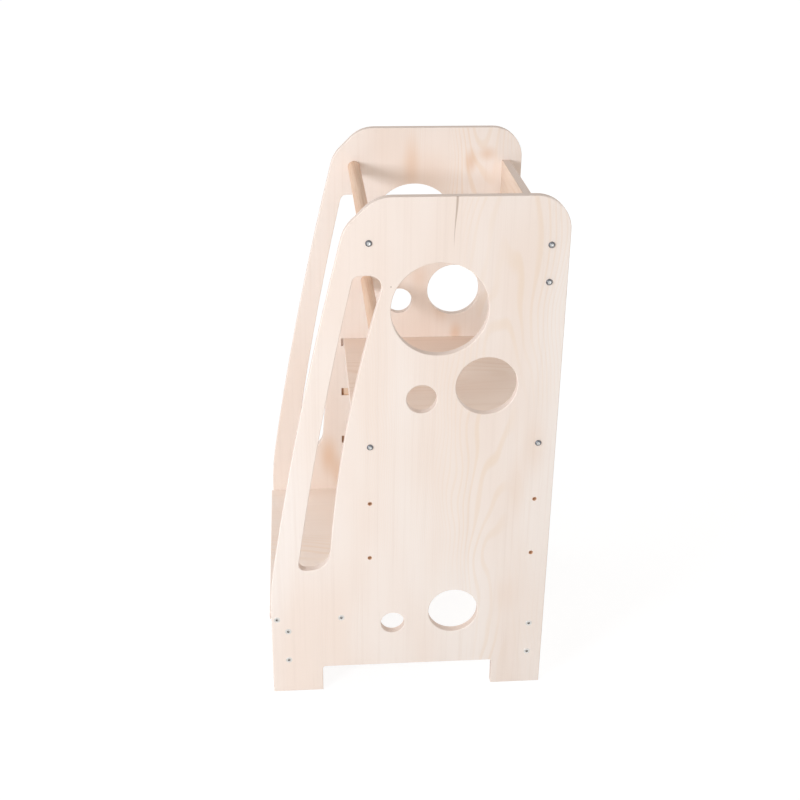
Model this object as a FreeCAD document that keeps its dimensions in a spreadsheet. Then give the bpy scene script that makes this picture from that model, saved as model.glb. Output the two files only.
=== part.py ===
import FreeCAD, Part
import math
import os
import Sketcher

# A toddler's kitchen helper stool: two plywood side panels carry a platform that bolts at one of three
# heights, a front step, two low rails, a slat at the counter side and two round dowels.
#
# Frame: the origin is on the floor, in the middle of the stool. +Z is up, -Y is the side where the child
# climbs in, +Y is the counter side, and the side panels stand at +X (right) and -X (left).
# Panel sizes are given from the panel's front line (setback), from its back edge (from back), from the
# floor (foot, rise) or from its top edge (drop). All sizes are in millimetres.

SIZES = (
    # side panels
    ("Height", 900),
    ("PanelDepth", 475),
    ("PanelThickness", 15),
    ("ClearWidth", 428),
    ("EdgeEasing", 1.2),
    # legs and the arch between them
    ("LegWidth", 87.5),
    ("ArchHeight", 50.5),
    ("ArchCornerRadius", 5),
    # front edge: upright, then a knee that turns it back, then a long lean up to the top chamfer
    ("KneeFoot", 168),
    ("KneeRise", 85),
    ("KneeSetback", 6.5),
    ("LeanRadius", 6425),
    ("TopSetback", 178),
    ("TopChamfer", 49.5),
    ("TopFrontRadius", 60),
    ("TopBackRadius", 55),
    # slanted slot behind the front edge, which leaves the grab rail in front of it
    ("SlotFoot", 251),
    ("SlotTopDrop", 123),
    ("RailWidthLow", 41.3),
    ("RailWidthHigh", 29.7),
    ("SlotWidthLow", 53.5),
    ("SlotWidthHigh", 50.5),
    ("SlotFrontRadius", 6000),
    ("SlotBackRadius", 2300),
    ("SlotCornerRadius", 12),
    ("SlotTopBackRadius", 20),
    ("SlotFootBackRadius", 35),
    # round holes: three above the platform and two near the floor
    ("LargeHoleDiameter", 154),
    ("LargeHoleSetback", 277.9),
    ("LargeHoleRise", 236.3),
    ("MiddleHoleDiameter", 100),
    ("MiddleHoleSetback", 356.3),
    ("MiddleHoleRise", 104.5),
    ("SmallHoleDiameter", 49.5),
    ("SmallHoleSetback", 252.2),
    ("SmallHoleRise", 83.8),
    ("LowHoleDiameter", 86),
    ("LowHoleSetback", 315),
    ("LowHoleUp", 158.4),
    ("LowSmallHoleDiameter", 41),
    ("LowSmallHoleSetback", 209.8),
    ("LowSmallHoleUp", 137.9),
    # boards
    ("BoardThickness", 15),
    ("RailHeight", 95),
    ("BoardBoltSpread", 60),
    # platform and the grooves that hold its ends
    ("PlatformLevel", 483.5),
    ("LevelPitch", 105.5),
    ("LevelCount", 3),
    ("PlatformSetback", 145),
    ("PlatformBackGap", 12),
    ("PlatformFrontBoltInset", 24.5),
    ("PlatformRearBoltInset", 17.5),
    ("GrooveDepth", 5),
    ("GrooveClearance", 0.3),
    ("GrooveEndGap", 4.5),
    ("EndGap", 0.4),
    # front step, with the front rail under it
    ("StepTop", 160),
    ("StepDepth", 140),
    ("NoseReach", 3),
    ("StepFrontScrewInset", 12.5),
    ("StepRearScrewInset", 16.5),
    ("FrontRailSetback", 28.4),
    # rear rail and rear slat, both on edge
    ("RearRailFoot", 48.5),
    ("RearRailFromBack", 24.7),
    ("SlatFromBack", 29),
    ("SlatDrop", 107.4),
    # dowels across the entry side
    ("DowelDiameter", 22),
    ("TopDowelSetback", 166.5),
    ("TopDowelDrop", 71),
    ("LowerDowelSetback", 190),
    ("LowerDowelRise", 125.5),
    ("SocketDepth", 5),
    ("SocketClearance", 0.15),
    # bolts with button heads, and the threaded inserts that they turn into
    ("BoltDiameter", 6),
    ("BoltHole", 6.6),
    ("BoltLength", 35),
    ("BoltHeadDiameter", 10.5),
    ("BoltHeadFlat", 6),
    ("BoltHeadHeight", 3),
    ("BoltHeadDome", 5.5),
    ("BoltKey", 4),
    ("BoltKeyDepth", 2.2),
    ("InsertDiameter", 10),
    ("InsertLength", 15),
    ("InsertBore", 6.2),
    ("InsertClearance", 0.1),
    ("BoltEndRoom", 2),
    # countersunk screws
    ("ScrewDiameter", 5),
    ("ScrewHole", 5.4),
    ("ScrewLength", 50),
    ("ScrewTip", 4),
    ("ScrewHeadDiameter", 11),
    ("ScrewHeadClearance", 0.1),
    ("ScrewKey", 4),
    ("ScrewKeyDepth", 2.5),
)

# Lengths shorter than this count as nothing when an edge or a face is looked up.
TOLERANCE = 0.01

doc = FreeCAD.newDocument("HelperStool")
sheet = doc.addObject("Spreadsheet::Sheet", "Sizes")
for row, (alias, size) in enumerate(SIZES, 1):
    sheet.set(f"A{row}", alias)
    sheet.set(f"B{row}", str(size))
    sheet.setAlias(f"B{row}", alias)
doc.recompute()


def number(expression):
    """The present value of an expression on the sheet."""
    return float(sheet.evalExpression(expression))


# Places that several pieces share. Those in the panel are pairs: distance forward of the panel's back
# edge, and height above the floor.
BACK_EDGE = "(Sizes.PanelDepth + Sizes.NoseReach) / 2"
STEP_MIDDLE = "(Sizes.StepTop - Sizes.BoardThickness / 2)"
FRONT_RAIL_MIDDLE = "(Sizes.StepTop - Sizes.BoardThickness - Sizes.RailHeight / 2)"
REAR_RAIL_MIDDLE = "(Sizes.RearRailFoot + Sizes.RailHeight / 2)"
SLAT_MIDDLE = "(Sizes.Height - Sizes.SlatDrop)"
STEP_FRONT = "(Sizes.PanelDepth + Sizes.NoseReach)"
STEP_BACK = f"({STEP_FRONT} - Sizes.StepDepth)"
FRONT_RAIL_LINE = "(Sizes.PanelDepth - Sizes.FrontRailSetback)"
PLATFORM_FRONT = "(Sizes.PanelDepth - Sizes.PlatformSetback)"
PLATFORM_BACK = "Sizes.PlatformBackGap"
HALF_SPREAD = "Sizes.BoardBoltSpread / 2"

TOP_DOWEL = ("Sizes.PanelDepth - Sizes.TopDowelSetback", "Sizes.Height - Sizes.TopDowelDrop")
LOWER_DOWEL = ("Sizes.PanelDepth - Sizes.LowerDowelSetback", "Sizes.PlatformLevel + Sizes.LowerDowelRise")
SLAT_BOLT = ("Sizes.SlatFromBack", f"{SLAT_MIDDLE} + {HALF_SPREAD}")
PLATFORM_FRONT_BOLT = (f"{PLATFORM_FRONT} - Sizes.PlatformFrontBoltInset", "Sizes.PlatformLevel")
PLATFORM_REAR_BOLT = (f"{PLATFORM_BACK} + Sizes.PlatformRearBoltInset", "Sizes.PlatformLevel")
STEP_FRONT_SCREW = (f"{STEP_FRONT} - Sizes.StepFrontScrewInset", STEP_MIDDLE)
STEP_REAR_SCREW = (f"{STEP_BACK} + Sizes.StepRearScrewInset", STEP_MIDDLE)
FRONT_RAIL_SCREW = (FRONT_RAIL_LINE, f"{FRONT_RAIL_MIDDLE} + {HALF_SPREAD}")
REAR_RAIL_SCREW = ("Sizes.RearRailFromBack", f"{REAR_RAIL_MIDDLE} + {HALF_SPREAD}")


def lowered(spot, drop):
    """The same spot, lower by an expression."""
    return (spot[0], f"{spot[1]} - {drop}")


def front_at(height):
    """Setback of the chord of the leaning front edge at a height."""
    knee_top = "(Sizes.KneeFoot + Sizes.KneeRise)"
    lean_set = "(Sizes.TopSetback - Sizes.TopChamfer - Sizes.KneeSetback)"
    lean_rise = f"(Sizes.Height - Sizes.TopChamfer - {knee_top})"
    return f"(Sizes.KneeSetback + {lean_set} * ({height} - {knee_top}) / {lean_rise})"


# Building blocks shared by the pieces.


def new_body(name):
    """A body whose label is the name of its node."""
    body = doc.addObject("PartDesign::Body", name)
    body.Label = name
    return body


def datum(body, role):
    """One of a body's own origin planes or axes."""
    return next(item for item in body.Origin.OriginFeatures if item.Role == role)


def new_sketch(body, name, plane):
    """A sketch on one of the body's origin planes."""
    sketch = body.newObject("Sketcher::SketchObject", f"{body.Name}_{name}")
    sketch.AttachmentSupport = (datum(body, plane), [""])
    sketch.MapMode = "FlatFace"
    return sketch


def measure(sketch, kind, where, expression):
    """A dimension bound to the sheet."""
    index = sketch.addConstraint(Sketcher.Constraint(kind, *where, number(expression)))
    sketch.setExpression(f"Constraints[{index}]", expression)


def pin(sketch, geometry, vertex, across, up):
    """Holds a vertex at its distance from the sketch's origin, both ways."""
    measure(sketch, "DistanceX", (-1, 1, geometry, vertex), across)
    measure(sketch, "DistanceY", (-1, 1, geometry, vertex), up)


def arc_between(start, end, radius):
    """A shallow arc, anticlockwise from start to end, so that it bulges to the right of the way."""
    chord = end - start
    half = chord.Length / 2
    bulge = radius - math.sqrt(radius * radius - half * half)
    right = FreeCAD.Vector(chord.y, -chord.x, 0).normalize()
    return Part.Arc(start, (start + end) / 2 + right * bulge, end)


def outline(sketch, corners, arcs=None, hollow=()):
    """A closed outline, anticlockwise through corners.

    arcs gives the radius of each side that is curved. Such a side bulges out of the outline, unless it is
    named in hollow. A hollow side is drawn backwards, because a sketch keeps its arcs anticlockwise.
    """
    arcs = arcs or {}
    points = [FreeCAD.Vector(number(across), number(up), 0) for across, up in corners]
    count = len(points)
    for side, start in enumerate(points):
        end = points[(side + 1) % count]
        if side in hollow:
            sketch.addGeometry(arc_between(end, start, number(arcs[side])))
        elif side in arcs:
            sketch.addGeometry(arc_between(start, end, number(arcs[side])))
        else:
            sketch.addGeometry(Part.LineSegment(start, end))
    first = [2 if side in hollow else 1 for side in range(count)]
    last = [1 if side in hollow else 2 for side in range(count)]
    for side, (across, up) in enumerate(corners):
        after = (side + 1) % count
        sketch.addConstraint(Sketcher.Constraint("Coincident", side, last[side], after, first[after]))
        pin(sketch, side, first[side], across, up)
        if side in arcs:
            measure(sketch, "Radius", (side,), arcs[side])


def circles(sketch, places, diameter):
    """Circles of one diameter about the given places."""
    for across, up in places:
        centre = FreeCAD.Vector(number(across), number(up), 0)
        circle = sketch.addGeometry(Part.Circle(centre, FreeCAD.Vector(0, 0, 1), number(diameter) / 2))
        pin(sketch, circle, 3, across, up)
        measure(sketch, "Diameter", (circle,), diameter)


def pad(body, sketch, length, midplane=False):
    """Raises a sketch into a solid."""
    feature = body.newObject("PartDesign::Pad", f"{sketch.Name}_pad")
    feature.Profile = sketch
    feature.Midplane = midplane
    feature.setExpression("Length", length)
    doc.recompute()
    return feature


def pocket(body, sketch, depth=None, reverse=False):
    """Cuts a sketch into the solid, all the way through where no depth is given."""
    before = body.Shape.Volume
    feature = body.newObject("PartDesign::Pocket", f"{sketch.Name}_cut")
    feature.Profile = sketch
    if depth is None:
        feature.Type = "ThroughAll"
        feature.Midplane = True
    else:
        feature.setExpression("Length", depth)
        feature.Reversed = reverse
    doc.recompute()
    if feature.Shape.Volume > before - TOLERANCE:
        raise RuntimeError(f"{feature.Name} cuts nothing")
    return feature


def round_off(body, base, elements, radius):
    """Rounds edges, or all the edges of faces, of the last feature."""
    feature = body.newObject("PartDesign::Fillet", f"{base.Name}_round")
    feature.Base = (base, elements)
    feature.setExpression("Radius", radius)
    doc.recompute()
    return feature


def edges_across(base, corners):
    """Names of the edges that run along X at the given places."""
    spots = [(number(across), number(up)) for across, up in corners]
    names = []
    for index, edge in enumerate(base.Shape.Edges, 1):
        box = edge.BoundBox
        if box.XLength < TOLERANCE or box.YLength + box.ZLength > TOLERANCE:
            continue
        if any(math.hypot(box.YMin - across, box.ZMin - up) < TOLERANCE for across, up in spots):
            names.append(f"Edge{index}")
    return names


def side_faces(base):
    """Names of the two large faces that look along X."""
    names = []
    for index, face in enumerate(base.Shape.Faces, 1):
        if face.BoundBox.XLength < TOLERANCE:
            names.append(f"Face{index}")
    return names


def turned(body, corners, arcs=None):
    """A piece turned about the X axis from half of its section."""
    sketch = new_sketch(body, "section", "XZ_Plane")
    outline(sketch, corners, arcs)
    feature = body.newObject("PartDesign::Revolution", f"{body.Name}_turned")
    feature.Profile = sketch
    feature.ReferenceAxis = (datum(body, "X_Axis"), [""])
    feature.Angle = 360
    doc.recompute()
    return feature


def repeated(body, features, axis, spread, count="2", back=False):
    """A row of copies at even steps; spread is the way from the first to the last."""
    feature = body.newObject("PartDesign::LinearPattern", f"{body.Name}_row")
    feature.Originals = features
    feature.Direction = (datum(body, axis), [""])
    feature.Reversed = back
    feature.setExpression("Length", spread)
    feature.setExpression("Occurrences", count)
    body.Tip = feature
    doc.recompute()
    return feature


def place(item, across, forward, up):
    """Places a piece: sideways, forward of the panels' back edge, and above the floor."""
    item.setExpression("Placement.Base.x", across)
    item.setExpression("Placement.Base.y", f"{BACK_EDGE} - ({forward})")
    item.setExpression("Placement.Base.z", up)


# The side panel. Its sketches lie on the inner face, with the back edge at zero and the front at minus Y.


def behind(place_in_panel):
    """A place in the panel as sketch coordinates."""
    return (f"-({place_in_panel[0]})", place_in_panel[1])


def panel_outline():
    """Corners of the panel before any is rounded, from the rear sole up the back and round to the front."""
    knee_top = "Sizes.KneeFoot + Sizes.KneeRise"
    chamfer_foot = "Sizes.Height - Sizes.TopChamfer"
    return [
        ("0", "0"),
        ("0", "Sizes.Height"),
        ("Sizes.PanelDepth - Sizes.TopSetback", "Sizes.Height"),
        ("Sizes.PanelDepth - Sizes.TopSetback + Sizes.TopChamfer", chamfer_foot),
        ("Sizes.PanelDepth - Sizes.KneeSetback", knee_top),
        ("Sizes.PanelDepth", "Sizes.KneeFoot"),
        ("Sizes.PanelDepth", "0"),
        ("Sizes.PanelDepth - Sizes.LegWidth", "0"),
        ("Sizes.PanelDepth - Sizes.LegWidth", "Sizes.ArchHeight"),
        ("Sizes.LegWidth", "Sizes.ArchHeight"),
        ("Sizes.LegWidth", "0"),
    ]


def slot_outline():
    """Corners of the slot before they are rounded, from the foot of its front edge, up and round."""
    foot = "Sizes.SlotFoot"
    top = "(Sizes.Height - Sizes.SlotTopDrop)"
    front_low = f"Sizes.PanelDepth - {front_at(foot)} - Sizes.RailWidthLow"
    front_high = f"Sizes.PanelDepth - {front_at(top)} - Sizes.RailWidthHigh"
    return [
        (front_low, foot),
        (f"{front_low} - Sizes.SlotWidthLow", foot),
        (f"{front_high} - Sizes.SlotWidthHigh", top),
        (front_high, top),
    ]


def round_holes():
    """Diameter and place of each round hole."""
    above_platform = [
        (f"Sizes.{name}Diameter", (f"Sizes.PanelDepth - Sizes.{name}Setback",
                                   f"Sizes.PlatformLevel + Sizes.{name}Rise"))
        for name in ("LargeHole", "MiddleHole", "SmallHole")
    ]
    near_floor = [
        (f"Sizes.{name}Diameter", (f"Sizes.PanelDepth - Sizes.{name}Setback", f"Sizes.{name}Up"))
        for name in ("LowHole", "LowSmallHole")
    ]
    return above_platform + near_floor


def panel_board(body):
    """The panel's board: outline, slot and round holes, with all their edges eased."""
    corners = [behind(corner) for corner in panel_outline()]
    sketch = new_sketch(body, "outline", "YZ_Plane")
    knee_radius = "(Sizes.KneeRise ^ 2 + Sizes.KneeSetback ^ 2) / (2 * Sizes.KneeSetback)"
    outline(sketch, corners, {3: "Sizes.LeanRadius", 4: knee_radius})
    board = pad(body, sketch, "Sizes.PanelThickness")
    for which, radius in (
        ((1,), "Sizes.TopBackRadius"),
        ((2, 3), "Sizes.TopFrontRadius"),
        ((8, 9), "Sizes.ArchCornerRadius"),
    ):
        board = round_off(body, board, edges_across(board, [corners[i] for i in which]), radius)

    slot_corners = [behind(corner) for corner in slot_outline()]
    sketch = new_sketch(body, "slot", "YZ_Plane")
    outline(sketch, slot_corners, {1: "Sizes.SlotBackRadius", 3: "Sizes.SlotFrontRadius"}, hollow=[1])
    board = pocket(body, sketch)
    for which, radius in (
        ((0, 3), "Sizes.SlotCornerRadius"),
        ((1,), "Sizes.SlotFootBackRadius"),
        ((2,), "Sizes.SlotTopBackRadius"),
    ):
        board = round_off(body, board, edges_across(board, [slot_corners[i] for i in which]), radius)

    sketch = new_sketch(body, "holes", "YZ_Plane")
    for diameter, spot in round_holes():
        circles(sketch, [behind(spot)], diameter)
    board = pocket(body, sketch)
    return round_off(body, board, side_faces(board), "Sizes.EdgeEasing")


def cut_grooves(body):
    """Stopped grooves for the ends of the platform, one for each height."""
    half = "(Sizes.BoardThickness / 2 + Sizes.GrooveClearance)"
    front = f"-({PLATFORM_FRONT} + Sizes.GrooveEndGap)"
    back = f"-({PLATFORM_BACK} - Sizes.GrooveEndGap)"
    low = f"Sizes.PlatformLevel - {half}"
    high = f"Sizes.PlatformLevel + {half}"
    sketch = new_sketch(body, "groove", "YZ_Plane")
    outline(sketch, [(front, low), (back, low), (back, high), (front, high)])
    groove = pocket(body, sketch, "Sizes.GrooveDepth", reverse=True)
    spread = "Sizes.LevelPitch * (Sizes.LevelCount - 1)"
    repeated(body, [groove], "Z_Axis", spread, "Sizes.LevelCount", back=True)


def cut_sockets(body):
    """Blind sockets for the ends of the two dowels."""
    sketch = new_sketch(body, "sockets", "YZ_Plane")
    bore = "Sizes.DowelDiameter + 2 * Sizes.SocketClearance"
    circles(sketch, [behind(TOP_DOWEL), behind(LOWER_DOWEL)], bore)
    pocket(body, sketch, "Sizes.SocketDepth", reverse=True)


def cut_bolt_holes(body):
    """Through holes for the bolts, with the platform's pair repeated at each height."""
    sketch = new_sketch(body, "bolt_holes", "YZ_Plane")
    fixed = [TOP_DOWEL, SLAT_BOLT, lowered(SLAT_BOLT, "Sizes.BoardBoltSpread")]
    circles(sketch, [behind(spot) for spot in fixed], "Sizes.BoltHole")
    for level in range(round(number("Sizes.LevelCount"))):
        drop = f"{level} * Sizes.LevelPitch"
        pair = [lowered(PLATFORM_FRONT_BOLT, drop), lowered(PLATFORM_REAR_BOLT, drop)]
        circles(sketch, [behind(spot) for spot in pair], "Sizes.BoltHole")
    pocket(body, sketch)


def cut_screw_holes(body):
    """Through holes for the screws, countersunk on the outer face."""
    spots = [STEP_FRONT_SCREW, STEP_REAR_SCREW]
    for spot in (FRONT_RAIL_SCREW, REAR_RAIL_SCREW):
        spots += [spot, lowered(spot, "Sizes.BoardBoltSpread")]
    sketch = new_sketch(body, "screw_holes", "YZ_Plane")
    circles(sketch, [behind(spot) for spot in spots], "Sizes.ScrewHole")
    drilled = pocket(body, sketch)
    rims = []
    outer = number("Sizes.PanelThickness")
    radius = number("Sizes.ScrewHole / 2")
    for index, edge in enumerate(drilled.Shape.Edges, 1):
        if not isinstance(edge.Curve, Part.Circle) or abs(edge.Curve.Radius - radius) > TOLERANCE:
            continue
        if abs(edge.Curve.Center.x - outer) < TOLERANCE:
            rims.append(f"Edge{index}")
    sink = body.newObject("PartDesign::Chamfer", f"{body.Name}_countersinks")
    sink.Base = (drilled, rims)
    sink.setExpression("Size", "(Sizes.ScrewHeadDiameter - Sizes.ScrewHole) / 2 + Sizes.ScrewHeadClearance")
    doc.recompute()


def side_panel(name):
    """The right side panel, with its inner face at half of the clear width."""
    body = new_body(name)
    panel_board(body)
    cut_grooves(body)
    cut_sockets(body)
    cut_bolt_holes(body)
    cut_screw_holes(body)
    place(body, "Sizes.ClearWidth / 2", "0", "0")
    return body


# The boards between the panels. Each is drawn about its own middle and runs along X.


def board(name, deep, tall, length):
    """A plain board with its four long edges eased."""
    body = new_body(name)
    half_deep, half_tall = f"({deep}) / 2", f"({tall}) / 2"
    corners = [
        (f"-{half_deep}", f"-{half_tall}"),
        (half_deep, f"-{half_tall}"),
        (half_deep, half_tall),
        (f"-{half_deep}", half_tall),
    ]
    sketch = new_sketch(body, "section", "YZ_Plane")
    outline(sketch, corners)
    blank = pad(body, sketch, length, midplane=True)
    round_off(body, blank, edges_across(blank, corners), "Sizes.EdgeEasing")
    return body


def end_bores(body, spots, diameter, length, depth):
    """Blind bores into both ends of a piece that is drawn about its middle."""
    sketch = new_sketch(body, "bores", "YZ_Plane")
    circles(sketch, spots, diameter)
    sketch.setExpression("AttachmentOffset.Base.z", f"({length}) / 2")
    bores = pocket(body, sketch, depth)
    mirror = body.newObject("PartDesign::Mirrored", f"{body.Name}_other_end")
    mirror.Originals = [bores]
    mirror.MirrorPlane = (datum(body, "YZ_Plane"), [""])
    body.Tip = mirror
    doc.recompute()


INSERT_BORE = "Sizes.InsertDiameter + 2 * Sizes.InsertClearance"
SCREW_BORE_DEPTH = "Sizes.ScrewLength - Sizes.PanelThickness + Sizes.BoltEndRoom"
PLATFORM_LENGTH = "Sizes.ClearWidth + 2 * (Sizes.GrooveDepth - Sizes.EndGap)"
DOWEL_LENGTH = "Sizes.ClearWidth + 2 * (Sizes.SocketDepth - Sizes.EndGap)"


def bolt_bore_depth(sunk):
    """Depth of a bolt's bore, from the end of a piece that reaches into the panel by sunk."""
    return f"Sizes.BoltLength - Sizes.PanelThickness + {sunk} + Sizes.BoltEndRoom"


def rail(name, forward, middle, bore, bore_depth):
    """A board on edge between the panels, fastened by two bolts or screws in each end."""
    body = board(name, "Sizes.BoardThickness", "Sizes.RailHeight", "Sizes.ClearWidth")
    end_bores(body, [("0", HALF_SPREAD), ("0", f"-{HALF_SPREAD}")], bore, "Sizes.ClearWidth", bore_depth)
    place(body, "0", forward, middle)
    return body


def platform(name):
    """The board the child stands on; its ends sit in the panels' grooves."""
    deep = f"{PLATFORM_FRONT} - {PLATFORM_BACK}"
    body = board(name, deep, "Sizes.BoardThickness", PLATFORM_LENGTH)
    spots = [
        (f"-({deep}) / 2 + Sizes.PlatformFrontBoltInset", "0"),
        (f"({deep}) / 2 - Sizes.PlatformRearBoltInset", "0"),
    ]
    depth = bolt_bore_depth("Sizes.GrooveDepth - Sizes.EndGap")
    end_bores(body, spots, INSERT_BORE, PLATFORM_LENGTH, depth)
    place(body, "0", f"({PLATFORM_FRONT} + {PLATFORM_BACK}) / 2", "Sizes.PlatformLevel")
    return body


def front_step(name):
    """The low step board; its nose stands a little proud of the panels."""
    body = board(name, "Sizes.StepDepth", "Sizes.BoardThickness", "Sizes.ClearWidth")
    spots = [
        ("-Sizes.StepDepth / 2 + Sizes.StepFrontScrewInset", "0"),
        ("Sizes.StepDepth / 2 - Sizes.StepRearScrewInset", "0"),
    ]
    end_bores(body, spots, "Sizes.ScrewHole", "Sizes.ClearWidth", SCREW_BORE_DEPTH)
    place(body, "0", f"{STEP_FRONT} - Sizes.StepDepth / 2", STEP_MIDDLE)
    return body


def dowel(name, spot, bored):
    """A round bar from panel to panel; its ends sit in blind sockets."""
    body = new_body(name)
    sketch = new_sketch(body, "section", "YZ_Plane")
    circles(sketch, [("0", "0")], "Sizes.DowelDiameter")
    pad(body, sketch, DOWEL_LENGTH, midplane=True)
    if bored:
        depth = bolt_bore_depth("Sizes.SocketDepth - Sizes.EndGap")
        end_bores(body, [("0", "0")], INSERT_BORE, DOWEL_LENGTH, depth)
    place(body, "0", *spot)
    return body


# Fasteners. Each is turned about X, with the underside of its head at zero and its shank towards minus X.


def key_socket(body, head, across_flats, depth):
    """A hexagon socket in the top of a head."""
    corners = [(f"{across_flats} / cos(30) / 2 * cos({turn})", f"{across_flats} / cos(30) / 2 * sin({turn})")
               for turn in range(30, 390, 60)]
    sketch = new_sketch(body, "key", "YZ_Plane")
    outline(sketch, corners)
    sketch.setExpression("AttachmentOffset.Base.z", head)
    return pocket(body, sketch, depth)


def fasteners(name, section, arcs, head, key, spread):
    """A fastener, or a pair of them: spread is an axis and a distance, with a sign for the way."""
    body = new_body(name)
    features = [turned(body, section, arcs)]
    features.append(key_socket(body, head, *key))
    if spread:
        axis, distance, back = spread
        repeated(body, features, axis, distance, back=back)
    return body


def bolts(name, spot, spread=None):
    """Button-headed bolts against the panel's outer face."""
    shank, rim, flat = "Sizes.BoltDiameter / 2", "Sizes.BoltHeadDiameter / 2", "Sizes.BoltHeadFlat / 2"
    section = [
        ("Sizes.BoltHeadHeight", "0"),
        ("Sizes.BoltHeadHeight", flat),
        ("0", rim),
        ("0", shank),
        ("-Sizes.BoltLength", shank),
        ("-Sizes.BoltLength", "0"),
    ]
    key = ("Sizes.BoltKey", "Sizes.BoltKeyDepth")
    dome = {1: "Sizes.BoltHeadDome"}
    body = fasteners(name, section, dome, "Sizes.BoltHeadHeight", key, spread)
    place(body, "Sizes.ClearWidth / 2 + Sizes.PanelThickness", *spot)
    return body


def screws(name, spot, spread=None):
    """Countersunk screws, flush with the panel's outer face."""
    shank, rim = "Sizes.ScrewDiameter / 2", "Sizes.ScrewHeadDiameter / 2"
    section = [
        ("0", "0"),
        ("0", rim),
        (f"{shank} - {rim}", shank),
        ("Sizes.ScrewTip - Sizes.ScrewLength", shank),
        ("-Sizes.ScrewLength", "0"),
    ]
    key = ("Sizes.ScrewKey", "Sizes.ScrewKeyDepth")
    body = fasteners(name, section, None, "0", key, spread)
    place(body, "Sizes.ClearWidth / 2 + Sizes.PanelThickness", *spot)
    return body


def inserts(name, spot, seat, spread=None):
    """Threaded sleeves, flush with the end of the piece that they are set in; seat is that end."""
    body = new_body(name)
    bore, wall = "Sizes.InsertBore / 2", "Sizes.InsertDiameter / 2"
    section = [
        ("0", bore),
        ("0", wall),
        ("-Sizes.InsertLength", wall),
        ("-Sizes.InsertLength", bore),
    ]
    sleeve = turned(body, section)
    if spread:
        axis, distance, back = spread
        repeated(body, [sleeve], axis, distance, back=back)
    place(body, seat, *spot)
    return body


def mirrored(original):
    """The left-hand copy of a right-hand piece."""
    copy = doc.addObject("Part::Mirroring", original.Name.replace("right_", "left_"))
    copy.Label = original.Label.replace("right_", "left_")
    copy.Source = original
    copy.Normal = FreeCAD.Vector(1, 0, 0)
    return copy


# The stool, put together.
down = ("Z_Axis", "Sizes.BoardBoltSpread", True)
platform_spread = (f"{PLATFORM_FRONT} - {PLATFORM_BACK}"
                   " - Sizes.PlatformFrontBoltInset - Sizes.PlatformRearBoltInset")
step_spread = "Sizes.StepDepth - Sizes.StepFrontScrewInset - Sizes.StepRearScrewInset"
insert_depth = bolt_bore_depth("0")
half_platform = f"({PLATFORM_LENGTH}) / 2"
half_dowel = f"({DOWEL_LENGTH}) / 2"

middle_parts = [
    platform("platform"),
    front_step("front_step"),
    rail("front_lower_rail", FRONT_RAIL_LINE, FRONT_RAIL_MIDDLE, "Sizes.ScrewHole", SCREW_BORE_DEPTH),
    rail("rear_lower_rail", "Sizes.RearRailFromBack", REAR_RAIL_MIDDLE, "Sizes.ScrewHole", SCREW_BORE_DEPTH),
    rail("rear_top_slat", "Sizes.SlatFromBack", SLAT_MIDDLE, INSERT_BORE, insert_depth),
    dowel("top_entry_dowel", TOP_DOWEL, bored=True),
    dowel("lower_entry_dowel", LOWER_DOWEL, bored=False),
]
right_parts = [
    side_panel("right_side_panel"),
    bolts("right_dowel_bolt", TOP_DOWEL),
    bolts("right_slat_bolts", SLAT_BOLT, down),
    bolts("right_platform_bolts", PLATFORM_FRONT_BOLT, ("Y_Axis", platform_spread, False)),
    screws("right_step_screws", STEP_FRONT_SCREW, ("Y_Axis", step_spread, False)),
    screws("right_front_rail_screws", FRONT_RAIL_SCREW, down),
    screws("right_rear_rail_screws", REAR_RAIL_SCREW, down),
    inserts("right_dowel_insert", TOP_DOWEL, half_dowel),
    inserts("right_slat_inserts", SLAT_BOLT, "Sizes.ClearWidth / 2", down),
    inserts("right_platform_inserts", PLATFORM_FRONT_BOLT, half_platform, ("Y_Axis", platform_spread, False)),
]
left_parts = [mirrored(part) for part in right_parts]
doc.recompute()

for item in doc.Objects:
    if "Invalid" in item.State or "Error" in item.State:
        raise RuntimeError(f"{item.Name} failed: {item.State}")

os.makedirs("parts", exist_ok=True)
for part in middle_parts + right_parts + left_parts:
    if part.Shape.isNull() or not part.Shape.isValid():
        raise RuntimeError(f"{part.Label} has no valid shape")
    part.Shape.exportStep(f"parts/{part.Label}.step")
    print(f"{part.Label}: {len(part.Shape.Solids)} solids, {part.Shape.Volume:.0f} mm3")
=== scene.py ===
from math import cos, pi, radians, sin

import bmesh
import bpy
from mathutils import Matrix, Vector


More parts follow.
